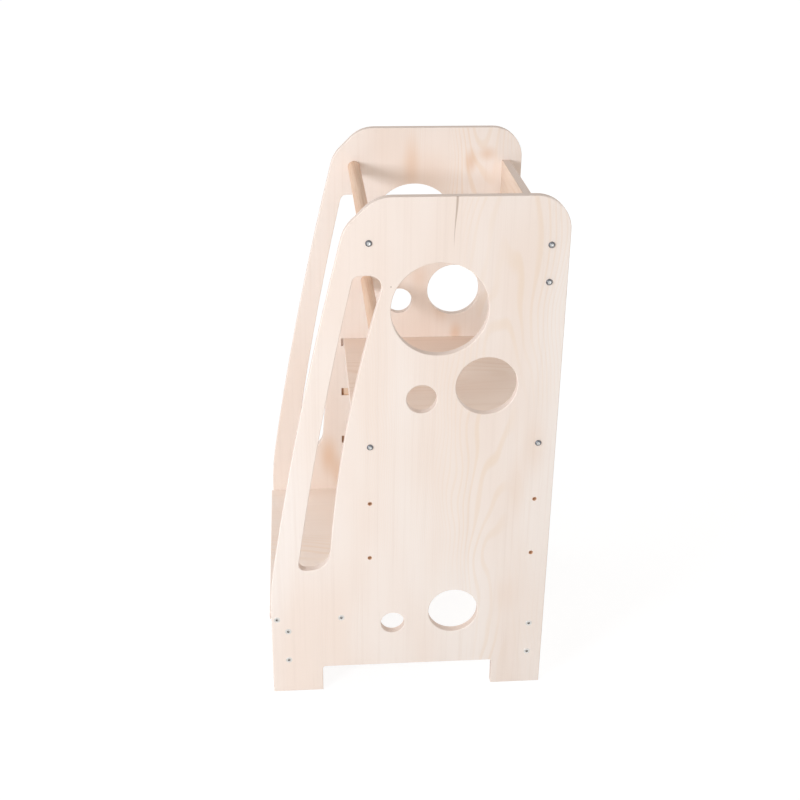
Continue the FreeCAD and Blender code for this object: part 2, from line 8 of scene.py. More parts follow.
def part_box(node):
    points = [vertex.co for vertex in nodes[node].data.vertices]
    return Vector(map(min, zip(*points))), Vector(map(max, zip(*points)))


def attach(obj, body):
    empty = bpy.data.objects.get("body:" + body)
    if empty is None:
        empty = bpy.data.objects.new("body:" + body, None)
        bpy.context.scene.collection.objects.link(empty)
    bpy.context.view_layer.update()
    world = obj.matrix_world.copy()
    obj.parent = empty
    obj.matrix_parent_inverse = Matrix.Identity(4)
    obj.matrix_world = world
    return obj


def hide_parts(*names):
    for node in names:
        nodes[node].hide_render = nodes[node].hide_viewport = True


# A toddler's kitchen helper stool. X runs across it, from the left side panel to the right one, Y from the
# entry side to the counter side, and Z up. All lengths are in metres.
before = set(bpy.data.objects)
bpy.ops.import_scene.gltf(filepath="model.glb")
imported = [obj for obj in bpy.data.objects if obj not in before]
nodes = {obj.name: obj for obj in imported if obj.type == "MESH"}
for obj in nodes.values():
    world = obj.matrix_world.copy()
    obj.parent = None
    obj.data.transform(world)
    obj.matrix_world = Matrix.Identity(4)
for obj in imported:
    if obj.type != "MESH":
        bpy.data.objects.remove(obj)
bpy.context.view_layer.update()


# ---------------------------------------------------------------------------------------------------------
# Side panels. Two sheets of 15 mm birch plywood, cut to one outline on a router, with the arris eased all
# round and a thin whitened lacquer over faces and edges. The face veneer's grain runs up the panel, and the
# routed edges show the plies. The bores and grooves for the platform are left raw.
# ---------------------------------------------------------------------------------------------------------

def paint(red, green, blue):
    """A colour as it is seen, 0 to 255, as the shader wants it."""
    seen = (channel / 255 for channel in (red, green, blue))
    return (*(c / 12.92 if c <= 0.04045 else ((c + 0.055) / 1.055) ** 2.4 for c in seen), 1.0)


def put(tree, kind, inputs=None, **settings):
    """Adds a node, with its settings, and with its inputs set to a value or joined to an output."""
    node = tree.nodes.new(kind)
    for name, setting in settings.items():
        setattr(node, name, setting)
    for name, value in (inputs or {}).items():
        if isinstance(value, bpy.types.NodeSocket):
            tree.links.new(value, node.inputs[name])
        else:
            node.inputs[name].default_value = value
    return node


def sums(tree, operation, *terms, clamp=False):
    """The output of one arithmetic step."""
    node = put(tree, "ShaderNodeMath", dict(enumerate(terms)), operation=operation, use_clamp=clamp)
    return node.outputs[0]


def ramp(tree, value, low, high, to_low=0.0, to_high=1.0):
    """A smooth climb from one value to another as the input goes from low to high."""
    ends = {"Value": value, "From Min": low, "From Max": high, "To Min": to_low, "To Max": to_high}
    return put(tree, "ShaderNodeMapRange", ends, interpolation_type="SMOOTHSTEP").outputs["Result"]


def tint(tree, share, under, over):
    """Lays one colour over another by a share."""
    node = put(tree, "ShaderNodeMix", data_type="RGBA", blend_type="MIX")
    for socket, value in ((node.inputs[0], share), (node.inputs[6], under), (node.inputs[7], over)):
        if isinstance(value, bpy.types.NodeSocket):
            tree.links.new(value, socket)
        else:
            socket.default_value = value
    return node.outputs[2]


def noise(tree, place, stretch, detail=2.0):
    """Even noise, 0 to 1, whose grains are one over stretch long each way."""
    scaled = put(tree, "ShaderNodeVectorMath", {0: place, 1: stretch}, operation="MULTIPLY").outputs[0]
    return put(tree, "ShaderNodeTexNoise", {"Vector": scaled, "Scale": 1.0, "Detail": detail}).outputs[0]


def new_group(name, takes, gives):
    """An empty node group with named inputs and outputs."""
    group = bpy.data.node_groups.new(name, "ShaderNodeTree")
    for label, kind, usual in takes:
        socket = group.interface.new_socket(label, in_out="INPUT", socket_type=kind)
        if usual is not None:
            socket.default_value = usual
    for label in gives:
        group.interface.new_socket(label, in_out="OUTPUT", socket_type="NodeSocketFloat")
    return group, group.nodes.new("NodeGroupInput").outputs, group.nodes.new("NodeGroupOutput").inputs


# How many grains to the metre each noise of a veneer has: across the grain, along it and through the sheet.
VENEER_NOISE = {
    "sway": (5.0, 2.2, 300.0),
    "swell": (16.0, 5.0, 300.0),
    "patch": (9.0, 3.0, 300.0),
    "shade": (7.0, 2.0, 300.0),
    "fine fibre": (620.0, 9.0, 900.0),
    "coarse fibre": (140.0, 2.4, 900.0),
}


def grain_group():
    """The figure of a sliced veneer: rings that arch along a heart line, fine fibre and broad shades.

    Place holds metres across the grain, along it, and through the sheet.
    """
    group, takes, gives = new_group(
        "veneer_grain",
        [
            ("Place", "NodeSocketVector", None),
            ("Heart", "NodeSocketFloat", 0.0),
            ("Apex", "NodeSocketFloat", 0.0),
            ("Arch", "NodeSocketFloat", 0.006),
            ("Rings", "NodeSocketFloat", 12.0),
        ],
        ["Late Wood", "Fibre", "Shade"],
    )
    place = takes["Place"]
    parts = put(group, "ShaderNodeSeparateXYZ", {0: place}).outputs
    sway_reach, swell_rings = 0.12, 3.4
    sway = noise(group, place, VENEER_NOISE["sway"])
    sway = sums(group, "MULTIPLY_ADD", sway, sway_reach, -sway_reach / 2)
    off_heart = sums(group, "ADD", sums(group, "SUBTRACT", parts[0], takes["Heart"]), sway)
    arch = sums(group, "DIVIDE", sums(group, "MULTIPLY", off_heart, off_heart), takes["Arch"])
    swell = noise(group, place, VENEER_NOISE["swell"], detail=1.0)
    height = sums(group, "SUBTRACT", sums(group, "ADD", parts[1], arch), takes["Apex"])
    ring = sums(group, "MULTIPLY", height, takes["Rings"])
    ring = sums(group, "ADD", ring, sums(group, "MULTIPLY", swell, swell_rings))
    wave = sums(group, "SINE", sums(group, "MULTIPLY", ring, 2 * pi))
    # Far from the heart the rings crowd together and fade into even grain.
    near_heart = ramp(group, sums(group, "ABSOLUTE", off_heart), low=0.11, high=0.02, to_low=0.3)
    patch = noise(group, place, VENEER_NOISE["patch"], detail=1.0)
    patch = ramp(group, patch, low=0.38, high=0.62, to_low=0.1)
    late = sums(group, "MULTIPLY", ramp(group, wave, low=0.1, high=1.0), near_heart)
    group.links.new(sums(group, "MULTIPLY", late, patch), gives["Late Wood"])
    fine = noise(group, place, VENEER_NOISE["fine fibre"], detail=3.0)
    coarse = noise(group, place, VENEER_NOISE["coarse fibre"])
    coarse_share = 0.6
    fine = sums(group, "MULTIPLY", fine, 1.0 - coarse_share)
    group.links.new(sums(group, "MULTIPLY_ADD", coarse, coarse_share, fine), gives["Fibre"])
    group.links.new(noise(group, place, VENEER_NOISE["shade"]), gives["Shade"])
    return group


def layer_group():
    """The plies of a sheet, by how deep a point lies in it: cross plies and the glue lines between plies."""
    group, takes, gives = new_group(
        "ply_layers",
        [("Depth", "NodeSocketFloat", 0.0), ("Ply", "NodeSocketFloat", 0.0014)],
        ["Inside", "Cross Ply", "Glue Line"],
    )
    count = sums(group, "DIVIDE", takes["Depth"], takes["Ply"])
    halfway = sums(group, "ABSOLUTE", sums(group, "SUBTRACT", sums(group, "FRACT", count), 0.5))
    group.links.new(ramp(group, count, low=0.97, high=1.03), gives["Inside"])
    group.links.new(sums(group, "FLOORED_MODULO", sums(group, "FLOOR", count), 2.0), gives["Cross Ply"])
    group.links.new(ramp(group, halfway, low=0.44, high=0.49), gives["Glue Line"])
    return group


veneer_grain = grain_group()
ply_layers = layer_group()
PLIES = 11
STREAK_SHARE, EDGE_FIBRE_SHARE, GLUE_SHARE = 0.26, 0.35, 0.7
LACQUER_SHEEN, EDGE_ROUGHER, LATE_WOOD_RISE = 0.35, 0.15, 0.5
GRAIN_RELIEF, RELIEF_STRENGTH = 0.0001, 0.35
VENEER = {
    "pale": paint(251, 240, 231),
    "rosy": paint(247, 230, 217),
    "ring": paint(241, 215, 186),
    "fibre": paint(234, 216, 202),
    "long_ply": paint(240, 226, 216),
    "cross_ply": paint(225, 206, 194),
    "glue": paint(200, 176, 162),
    "raw": paint(241, 214, 188),
    # Painted shade for the front end of each groove.
    "groove_end_shade": paint(190, 150, 120),
    # Raw wood of the bores, darker than the grooves' by painted shade inside the bore.
    "bored": paint(220, 182, 150),
}


def sheet_place(tree, across, along, through, face):
    """A point's place in a sheet: across the grain, along it, and how deep under one face."""
    place = put(tree, "ShaderNodeTexCoord").outputs["Object"]
    parts = put(tree, "ShaderNodeSeparateXYZ", {0: place}).outputs
    depth = sums(tree, "ABSOLUTE", sums(tree, "SUBTRACT", parts[through], face))
    axes = {0: parts[across], 1: parts[along], 2: depth}
    return put(tree, "ShaderNodeCombineXYZ", axes).outputs[0], depth


def plywood(name, box, across, along, through, heart, apex, arch, rings, colours=VENEER, marks=(),
            first_face=0, figure=0.36):
    """A lacquered plywood, for a sheet with this box, whose numbers say which axis each way of it runs.

    Depth is counted from the sheet's low face, or from its high one where first_face is 1. Figure is how
    strongly the rings show.
    """
    material = bpy.data.materials.new(name)
    material.use_nodes = True
    tree = material.node_tree
    shader = tree.nodes["Principled BSDF"]
    thickness = box[1][through] - box[0][through]
    place, depth = sheet_place(tree, across, along, through, box[first_face][through])
    grain = put(tree, "ShaderNodeGroup", node_tree=veneer_grain)
    tree.links.new(place, grain.inputs["Place"])
    for label, value in (("Heart", heart), ("Apex", apex), ("Arch", arch), ("Rings", rings)):
        grain.inputs[label].default_value = value
    # Depth is counted from the nearer face, so that both faces end in a whole ply.
    near_face = sums(tree, "MINIMUM", depth, sums(tree, "SUBTRACT", thickness, depth))
    layers = put(tree, "ShaderNodeGroup", node_tree=ply_layers)
    tree.links.new(near_face, layers.inputs["Depth"])
    layers.inputs["Ply"].default_value = thickness / PLIES

    shade, fibre = grain.outputs["Shade"], grain.outputs["Fibre"]
    face = tint(tree, ramp(tree, shade, low=0.3, high=0.7), colours["pale"], colours["rosy"])
    streaks = ramp(tree, fibre, low=0.46, high=0.72, to_high=STREAK_SHARE)
    face = tint(tree, streaks, face, colours["fibre"])
    face = tint(tree, sums(tree, "MULTIPLY", grain.outputs["Late Wood"], figure), face, colours["ring"])
    edge = tint(tree, layers.outputs["Cross Ply"], colours["long_ply"], colours["cross_ply"])
    edge_fibre = ramp(tree, fibre, low=0.4, high=0.8, to_high=EDGE_FIBRE_SHARE)
    edge = tint(tree, edge_fibre, edge, colours["cross_ply"])
    glue = sums(tree, "MULTIPLY", layers.outputs["Glue Line"], GLUE_SHARE)
    edge = tint(tree, glue, edge, colours["glue"])
    colour = tint(tree, layers.outputs["Inside"], face, edge)
    for mark in marks:
        share, mark_colour = mark(tree, place, depth)
        colour = tint(tree, share, colour, mark_colour)
    tree.links.new(colour, shader.inputs["Base Color"])

    rough = ramp(tree, fibre, low=0.3, high=0.8, to_low=0.42, to_high=0.6)
    rough = sums(tree, "MULTIPLY_ADD", layers.outputs["Inside"], EDGE_ROUGHER, rough)
    tree.links.new(rough, shader.inputs["Roughness"])
    relief = sums(tree, "MULTIPLY_ADD", grain.outputs["Late Wood"], LATE_WOOD_RISE, fibre)
    relief = sums(tree, "SUBTRACT", relief, layers.outputs["Glue Line"])
    rise = {"Height": relief, "Strength": RELIEF_STRENGTH, "Distance": GRAIN_RELIEF}
    bump = put(tree, "ShaderNodeBump", rise)
    tree.links.new(bump.outputs[0], shader.inputs["Normal"])
    shader.inputs["Specular IOR Level"].default_value = LACQUER_SHEEN
    return material


def wear(node, material):
    """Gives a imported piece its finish."""
    slots = nodes[node].data.materials
    slots.clear()
    slots.append(material)


def within(tree, value, low, high, hair=0.0002):
    """1 where a value lies from low to high, and 0 a hair outside them."""
    above = ramp(tree, value, low=sums(tree, "SUBTRACT", low, hair), high=low)
    below = ramp(tree, value, low=sums(tree, "ADD", high, hair), high=high)
    return sums(tree, "MULTIPLY", above, below)


def apart(tree, place, spot, squeeze=(1.0, 1.0, 0.0)):
    """How far a point is from a spot across and along, with each way squeezed first."""
    flat = put(tree, "ShaderNodeVectorMath", {0: place, 1: squeeze}, operation="MULTIPLY").outputs[0]
    centre = put(tree, "ShaderNodeVectorMath", {0: spot, 1: squeeze}, operation="MULTIPLY").outputs[0]
    return put(tree, "ShaderNodeVectorMath", {0: flat, 1: centre}, operation="DISTANCE").outputs["Value"]


def bore_group():
    """The raw wall of a bore through a sheet, with the chipped ring round its mouth."""
    group, takes, gives = new_group(
        "bore_wall",
        [("Place", "NodeSocketVector", None), ("Axis", "NodeSocketVector", None)],
        ["Raw"],
    )
    far_off = apart(group, takes["Place"], takes["Axis"])
    group.links.new(ramp(group, far_off, low=BORE_REACH + BORE_FADE, high=BORE_REACH), gives["Raw"])
    return group


def groove_group():
    """The raw walls of a groove in a sheet's first face, and the painted shade at its front end."""
    group, takes, gives = new_group(
        "groove_wall",
        [
            ("Place", "NodeSocketVector", None),
            ("Depth", "NodeSocketFloat", 0.0),
            ("Low", "NodeSocketFloat", 0.0),
            ("High", "NodeSocketFloat", 0.0),
            ("First", "NodeSocketFloat", 0.0),
            ("Last", "NodeSocketFloat", 0.0),
        ],
        ["Raw", "End Shade"],
    )
    parts = put(group, "ShaderNodeSeparateXYZ", {0: takes["Place"]}).outputs
    share = within(group, takes["Depth"], GROOVE_ARRIS, GROOVE_DEPTH)
    share = sums(group, "MULTIPLY", share, within(group, parts[1], takes["Low"], takes["High"]))
    share = sums(group, "MULTIPLY", share, within(group, parts[0], takes["First"], takes["Last"]))
    group.links.new(share, gives["Raw"])
    # Painted shade darkens the groove's front end and fades out further back.
    from_end = sums(group, "SUBTRACT", parts[0], takes["First"])
    group.links.new(ramp(group, from_end, low=GROOVE_SHADE_FADE, high=GROOVE_SHADE_REACH), gives["End Shade"])
    return group


def stain_group():
    """A soft stain in one face veneer, such as the one round a pin knot."""
    group, takes, gives = new_group(
        "veneer_stain",
        [
            ("Place", "NodeSocketVector", None),
            ("Depth", "NodeSocketFloat", 0.0),
            ("Spot", "NodeSocketVector", None),
            ("Squeeze", "NodeSocketVector", (1.0, 1.0, 0.0)),
            ("Size", "NodeSocketFloat", 0.02),
            ("Strength", "NodeSocketFloat", 1.0),
            ("Veneer Low", "NodeSocketFloat", 0.0),
            ("Veneer High", "NodeSocketFloat", 0.0),
        ],
        ["Share"],
    )
    far_off = apart(group, takes["Place"], takes["Spot"], takes["Squeeze"])
    share = ramp(group, far_off, low=takes["Size"], high=0.0, to_high=takes["Strength"])
    in_veneer = within(group, takes["Depth"], takes["Veneer Low"], takes["Veneer High"])
    group.links.new(sums(group, "MULTIPLY", share, in_veneer), gives["Share"])
    return group


def raw_bore(spot):
    """Marks a bore as raw wood, darkened further by painted shade."""
    def mark(tree, place, depth):
        values = {"Place": place, "Axis": (*spot, 0.0)}
        bore = put(tree, "ShaderNodeGroup", values, node_tree=bore_wall)
        return bore.outputs["Raw"], VENEER["bored"]
    return mark


def raw_groove(low, high, first, last):
    """Marks a groove under the panel's inner face as raw wood, with painted shade at its front end."""
    def mark(tree, place, depth):
        values = {"Place": place, "Depth": depth, "Low": low, "High": high, "First": first, "Last": last}
        groove = put(tree, "ShaderNodeGroup", values, node_tree=groove_wall)
        colour = tint(tree, groove.outputs["End Shade"], VENEER["raw"], VENEER["groove_end_shade"])
        return groove.outputs["Raw"], colour
    return mark


def bark_pocket(foot, head, width, veneer):
    """A thin dark wedge in one face veneer, from a hair at its foot to its full width at its head."""
    hair, strength, fade_below, fade_above = 0.0005, 0.6, 0.02, 0.01

    def mark(tree, place, depth):
        parts = put(tree, "ShaderNodeSeparateXYZ", {0: place}).outputs
        climb = ramp(tree, parts[1], low=foot[1], high=head[1])
        middle = sums(tree, "MULTIPLY_ADD", climb, head[0] - foot[0], foot[0])
        off = sums(tree, "ABSOLUTE", sums(tree, "SUBTRACT", parts[0], middle))
        half = sums(tree, "MULTIPLY_ADD", climb, width / 2, hair)
        share = ramp(tree, sums(tree, "DIVIDE", off, half), low=1.2, high=0.4, to_high=strength)
        start = ramp(tree, parts[1], low=foot[1] - fade_below, high=foot[1] + fade_above)
        share = sums(tree, "MULTIPLY", share, start)
        return sums(tree, "MULTIPLY", share, within(tree, depth, *veneer)), BARK
    return mark


def stain(spot, size, strength, squeeze, colour, veneer):
    """Marks a stain of a colour in one face veneer."""
    def mark(tree, place, depth):
        values = {
            "Place": place,
            "Depth": depth,
            "Spot": (*spot, 0.0),
            "Squeeze": (1.0, squeeze, 0.0),
            "Size": size,
            "Strength": strength,
            "Veneer Low": veneer[0],
            "Veneer High": veneer[1],
        }
        return put(tree, "ShaderNodeGroup", values, node_tree=veneer_stain).outputs["Share"], colour
    return mark


BORE_REACH, BORE_FADE = 0.0036, 0.0005
LEVEL_PITCH, GROOVE_DEPTH, GROOVE_ARRIS, GROOVE_LIP, GROOVE_END = 0.1055, 0.0052, 0.0003, 0.0005, 0.0047
# The grooves' painted shade is full up to the first distance from the front end, and gone at the second.
GROOVE_SHADE_REACH, GROOVE_SHADE_FADE = 0.004, 0.006
bore_wall, groove_wall, veneer_stain = bore_group(), groove_group(), stain_group()
right_bolts_low, right_bolts_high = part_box("right_platform_bolts")
platform_low, platform_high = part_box("platform")
head_radius = (right_bolts_high.z - right_bolts_low.z) / 2
bolt_level = (right_bolts_high.z + right_bolts_low.z) / 2
raw_marks = []
for drop in (LEVEL_PITCH, 2 * LEVEL_PITCH):
    for across_spot in (right_bolts_low.y + head_radius, right_bolts_high.y - head_radius):
        raw_marks.append(raw_bore((across_spot, bolt_level - drop)))
    raw_marks.append(raw_groove(platform_low.z - drop - GROOVE_LIP, platform_high.z - drop + GROOVE_LIP,
                                platform_low.y - GROOVE_END, platform_high.y + GROOVE_END))

BARK, PIN_KNOT, KNOT_STAIN = paint(168, 140, 120), paint(130, 100, 80), paint(230, 184, 142)
# Depths between which each face veneer of a panel lies, counted from the panel's inner face.
SHEET, FACE_PLY = 0.015, 0.0014
INNER_VENEER, OUTER_VENEER = (-1.0, FACE_PLY), (SHEET - FACE_PLY, 1.0)
# Each knot's stain: its place, as (y, z), its size, its strength, and how its length is squeezed before it
# is measured, so that less than 1 draws it out along the grain.
RIGHT_KNOTS = (
    ((0.205, 0.475), 0.030, 0.16, 0.4),
    ((0.178, 0.40), 0.022, 0.14, 0.25),
    ((0.17, 0.19), 0.036, 0.12, 0.6),
)
LEFT_KNOTS = (
    ((0.098, 0.557), 0.024, 0.35, 0.55),
    ((0.127, 0.498), 0.018, 0.45, 0.55),
    ((0.054, 0.615), 0.024, 0.25, 0.55),
    ((0.060, 0.805), 0.075, 0.22, 1.0),
    ((-0.122, 0.235), 0.026, 0.55, 0.4),
    ((-0.104, 0.20), 0.020, 0.4, 0.4),
    ((0.145, 0.838), 0.016, 0.5, 0.5),
    ((0.175, 0.852), 0.024, 0.4, 1.2),
    ((0.036, 0.835), 0.022, 0.35, 0.3),
)
right_marks = raw_marks + [
    bark_pocket(foot=(0.0603, 0.8356), head=(0.0632, 0.9), width=0.0032, veneer=OUTER_VENEER),
    stain((-0.0351, 0.7589), 0.0012, 0.9, 0.55, PIN_KNOT, OUTER_VENEER),
]
right_marks += [stain(*knot, KNOT_STAIN, OUTER_VENEER) for knot in RIGHT_KNOTS]
left_marks = raw_marks + [stain(*knot, KNOT_STAIN, INNER_VENEER) for knot in LEFT_KNOTS]
ACROSS, ALONG, THROUGH = 1, 2, 0
right_sheet = plywood("right_panel_plywood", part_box("right_side_panel"), ACROSS, ALONG, THROUGH,
                      heart=0.155, apex=0.478, arch=0.008, rings=7.0, marks=right_marks)
left_sheet = plywood("left_panel_plywood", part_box("left_side_panel"), ACROSS, ALONG, THROUGH,
                     heart=0.16, apex=0.82, arch=-0.006, rings=9.0, marks=left_marks, first_face=1)
wear("right_side_panel", right_sheet)
wear("left_side_panel", left_sheet)


# ---------------------------------------------------------------------------------------------------------
# Platform. One plywood board that the child stands on. Its ends sit in grooves in the side panels, and two
# bolts on each side hold it. The grain runs from the entry side to the counter side.
# ---------------------------------------------------------------------------------------------------------

# The platform's colours, a step darker and warmer than the panels', are painted shade from the side panels.
PLATFORM_SHADED_TONES = {
    **VENEER,
    "pale": paint(247, 230, 217),
    "rosy": paint(242, 219, 203),
    "ring": paint(219, 186, 157),
    "fibre": paint(225, 202, 183),
}
wear("platform", plywood("platform_plywood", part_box("platform"), across=0, along=1, through=2,
                         heart=-0.03, apex=-0.4, arch=0.012, rings=9.0, colours=PLATFORM_SHADED_TONES, figure=0.34))


# ---------------------------------------------------------------------------------------------------------
# Front step. The low plywood tread at the entry side, screwed on through the side panels, with its nose a
# little proud of them. Its grain runs front to back, as the platform's does.
# ---------------------------------------------------------------------------------------------------------

wear("front_step", plywood("step_plywood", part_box("front_step"), across=0, along=1, through=2,
                           heart=0.06, apex=0.3, arch=0.012, rings=9.0))


# ---------------------------------------------------------------------------------------------------------
# Rails and slat. Three plywood boards on edge that brace the side panels: one under the step, one low at
# the back, each screwed on, and one bolted high at the back, where the counter is.
# ---------------------------------------------------------------------------------------------------------

# The slat's colours, a step darker than the panels', are painted shade for the shade on its faces.
SLAT_SHADED_TONES = {
    **VENEER,
    "pale": paint(239, 220, 204),
    "rosy": paint(232, 209, 190),
    "ring": paint(218, 184, 152),
    "fibre": paint(215, 191, 170),
}
for board, heart, colours in (("front_lower_rail", 0.11, VENEER), ("rear_lower_rail", 0.07, VENEER),
                              ("rear_top_slat", 0.80, SLAT_SHADED_TONES)):
    wear(board, plywood(f"{board}_plywood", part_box(board), across=2, along=0, through=1,
                        heart=heart, apex=-0.5, arch=0.004, rings=6.0, colours=colours))


# ---------------------------------------------------------------------------------------------------------
# Dowels. Two turned bars of solid beech across the entry side, which the child holds and climbs between.
# Their ends sit in blind sockets in the side panels.
# ---------------------------------------------------------------------------------------------------------

BEECH = {
    "pale": paint(235, 203, 177),
    "brown": paint(222, 183, 154),
    "fibre": paint(198, 156, 126),
    "fleck": paint(176, 136, 108),
}
# How many grains to the metre each noise of a dowel has: along it, and both ways across it.
BEECH_NOISE = {
    "shade": (3.0, 60.0, 60.0),
    "fibre": (14.0, 900.0, 900.0),
    "fleck": (220.0, 2200.0, 2200.0),
}


def beech_group():
    """The figure of turned beech, with its grain along X: broad shades, fibre and the flecks of rays."""
    group, takes, gives = new_group(
        "beech_grain",
        [("Place", "NodeSocketVector", None)],
        ["Shade", "Fibre", "Flecks"],
    )
    shade = noise(group, takes["Place"], BEECH_NOISE["shade"])
    fibre = noise(group, takes["Place"], BEECH_NOISE["fibre"], detail=3.0)
    fleck = noise(group, takes["Place"], BEECH_NOISE["fleck"], detail=1.0)
    group.links.new(ramp(group, shade, low=0.3, high=0.7), gives["Shade"])
    group.links.new(fibre, gives["Fibre"])
    group.links.new(ramp(group, fleck, low=0.66, high=0.74, to_high=0.45), gives["Flecks"])
    return group


beech_grain = beech_group()


def dowel_wood(name, middle):
    """Lacquered beech for a bar along X, whose grain is centred on the bar."""
    material = bpy.data.materials.new(name)
    material.use_nodes = True
    tree = material.node_tree
    shader = tree.nodes["Principled BSDF"]
    here = put(tree, "ShaderNodeTexCoord").outputs["Object"]
    place = put(tree, "ShaderNodeMapping", {"Vector": here, "Location": -middle}).outputs[0]
    grain = put(tree, "ShaderNodeGroup", {"Place": place}, node_tree=beech_grain)
    fibre, flecks = grain.outputs["Fibre"], grain.outputs["Flecks"]
    colour = tint(tree, grain.outputs["Shade"], BEECH["pale"], BEECH["brown"])
    colour = tint(tree, ramp(tree, fibre, low=0.45, high=0.75, to_high=0.5), colour, BEECH["fibre"])
    colour = tint(tree, flecks, colour, BEECH["fleck"])
    tree.links.new(colour, shader.inputs["Base Color"])
    rough = ramp(tree, fibre, low=0.3, high=0.8, to_low=0.4, to_high=0.55)
    tree.links.new(rough, shader.inputs["Roughness"])
    relief = sums(tree, "SUBTRACT", fibre, flecks)
    bump = put(tree, "ShaderNodeBump", {"Height": relief, "Strength": 0.3, "Distance": GRAIN_RELIEF})
    tree.links.new(bump.outputs[0], shader.inputs["Normal"])
    shader.inputs["Specular IOR Level"].default_value = LACQUER_SHEEN
    return material


for bar in ("top_entry_dowel", "lower_entry_dowel"):
    bar_low, bar_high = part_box(bar)
    wear(bar, dowel_wood(f"{bar}_beech", (bar_low + bar_high) / 2))


# ---------------------------------------------------------------------------------------------------------
# Bolts. Plated steel button-head bolts with a hexagon socket, turned through the side panels into threaded
# inserts in the platform, the slat and the top dowel. The heads lie on the panels' outer faces.
# ---------------------------------------------------------------------------------------------------------

TURNED_SIDES, SAME_PLACE, SMOOTH_ANGLE = 48, 1e-6, radians(38)
FILM_NOISE, TURNING_NOISE = (500.0, 500.0, 500.0), (9000.0, 700.0, 700.0)
MARKS_ROUGHER, TURNING_RELIEF = 0.15, 0.00005


def plating_group():
    """The skin of a plated, turned fastener: a film in patches, and fine turning marks round its axis, X."""
    group, takes, gives = new_group(
        "turned_plating",
        [("Place", "NodeSocketVector", None)],
        ["Film", "Marks"],
    )
    film = noise(group, takes["Place"], FILM_NOISE, detail=3.0)
    group.links.new(ramp(group, film, low=0.35, high=0.7), gives["Film"])
    group.links.new(noise(group, takes["Place"], TURNING_NOISE), gives["Marks"])
    return group


turned_plating = plating_group()


def plated_steel(name, light, dark, roughness):
    """Plated steel, whose film darkens it from one colour to another in patches."""
    material = bpy.data.materials.new(name)
    material.use_nodes = True
    tree = material.node_tree
    shader = tree.nodes["Principled BSDF"]
    place = put(tree, "ShaderNodeTexCoord").outputs["Object"]
    skin = put(tree, "ShaderNodeGroup", {"Place": place}, node_tree=turned_plating)
    marks = skin.outputs["Marks"]
    colour = tint(tree, skin.outputs["Film"], light, dark)
    tree.links.new(colour, shader.inputs["Base Color"])
    rough = ramp(tree, marks, low=0.3, high=0.7, to_low=roughness, to_high=roughness + MARKS_ROUGHER)
    tree.links.new(rough, shader.inputs["Roughness"])
    bump = put(tree, "ShaderNodeBump", {"Height": marks, "Strength": 0.2, "Distance": TURNING_RELIEF})
    tree.links.new(bump.outputs[0], shader.inputs["Normal"])
    shader.inputs["Metallic"].default_value = 1.0
    return material


def turned(profile, rounded):
    """A shape turned about X from (along, radius) corners, some of them rounded by a radius."""
    shape = bmesh.new()
    corners = [shape.verts.new((along, radius, 0.0)) for along, radius in profile]
    for first, second in zip(corners, corners[1:]):
        shape.edges.new((first, second))
    for corner, radius in rounded.items():
        bmesh.ops.bevel(shape, geom=[corners[corner]], offset=radius, offset_type="OFFSET", segments=5,
                        profile=0.5, affect="VERTICES", material=-1)
    bmesh.ops.spin(shape, geom=shape.verts[:] + shape.edges[:], cent=(0, 0, 0), axis=(1, 0, 0),
                   angle=2 * pi, steps=TURNED_SIDES, use_merge=True)
    bmesh.ops.remove_doubles(shape, verts=shape.verts[:], dist=SAME_PLACE)
    return shape


def cut_key(shape, mouth, across_flats, depth):
    """Sinks a hexagon socket, of the second material, into the open ring at the mouth of a turned head.

    The floor of the socket ends in the cone that its drill left.
    """
    turned_faces = set(shape.faces)
    ring = [edge for edge in shape.edges if edge.is_boundary]
    to_x = Matrix.Translation((mouth, 0, 0)) @ Matrix.Rotation(pi / 2, 4, "Y")
    hexagon = bmesh.ops.create_circle(shape, segments=6, radius=across_flats / 2 / cos(pi / 6), matrix=to_x)
    rim = list({edge for vert in hexagon["verts"] for edge in vert.link_edges})
    split = bmesh.ops.subdivide_edges(shape, edges=rim, cuts=TURNED_SIDES // 6 - 1)
    rim = [piece for piece in split["geom"] if isinstance(piece, bmesh.types.BMEdge)]
    rim = [edge for edge in rim if edge.is_wire]
    bmesh.ops.bridge_loops(shape, edges=ring + rim)
    walls = bmesh.ops.extrude_edge_only(shape, edges=rim)["geom"]
    floor_verts = [part for part in walls if isinstance(part, bmesh.types.BMVert)]
    bmesh.ops.translate(shape, verts=floor_verts, vec=(-depth, 0, 0))
    floor_edges = [part for part in walls if isinstance(part, bmesh.types.BMEdge) and part.is_boundary]
    drill = bmesh.ops.extrude_edge_only(shape, edges=floor_edges)["geom"]
    drill_verts = [part for part in drill if isinstance(part, bmesh.types.BMVert)]
    to_floor = Matrix.Translation((depth - mouth, 0, 0))
    cone_width, cone_depth = 0.5, across_flats / 8
    bmesh.ops.scale(shape, verts=drill_verts, vec=(1, cone_width, cone_width), space=to_floor)
    bmesh.ops.translate(shape, verts=drill_verts, vec=(-cone_depth, 0, 0))
    drill_edges = [part for part in drill if isinstance(part, bmesh.types.BMEdge) and part.is_boundary]
    bmesh.ops.contextual_create(shape, geom=drill_edges)
    for face in shape.faces:
        face.material_index = 0 if face in turned_faces else 1


def spots_of(node):
    """Where the axes of a node's one or two fasteners lie, as (y, z), and how far their heads reach."""
    low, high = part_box(node)
    reach = min(high.y - low.y, high.z - low.z) / 2
    first = Vector((low.y + reach, low.z + reach))
    last = Vector((high.y - reach, high.z - reach))
    return ([first] if (last - first).length < reach else [first, last]), reach


def outer_end(node, side):
    """Where a node ends on its outer side, along X."""
    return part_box(node)[(side + 1) // 2].x


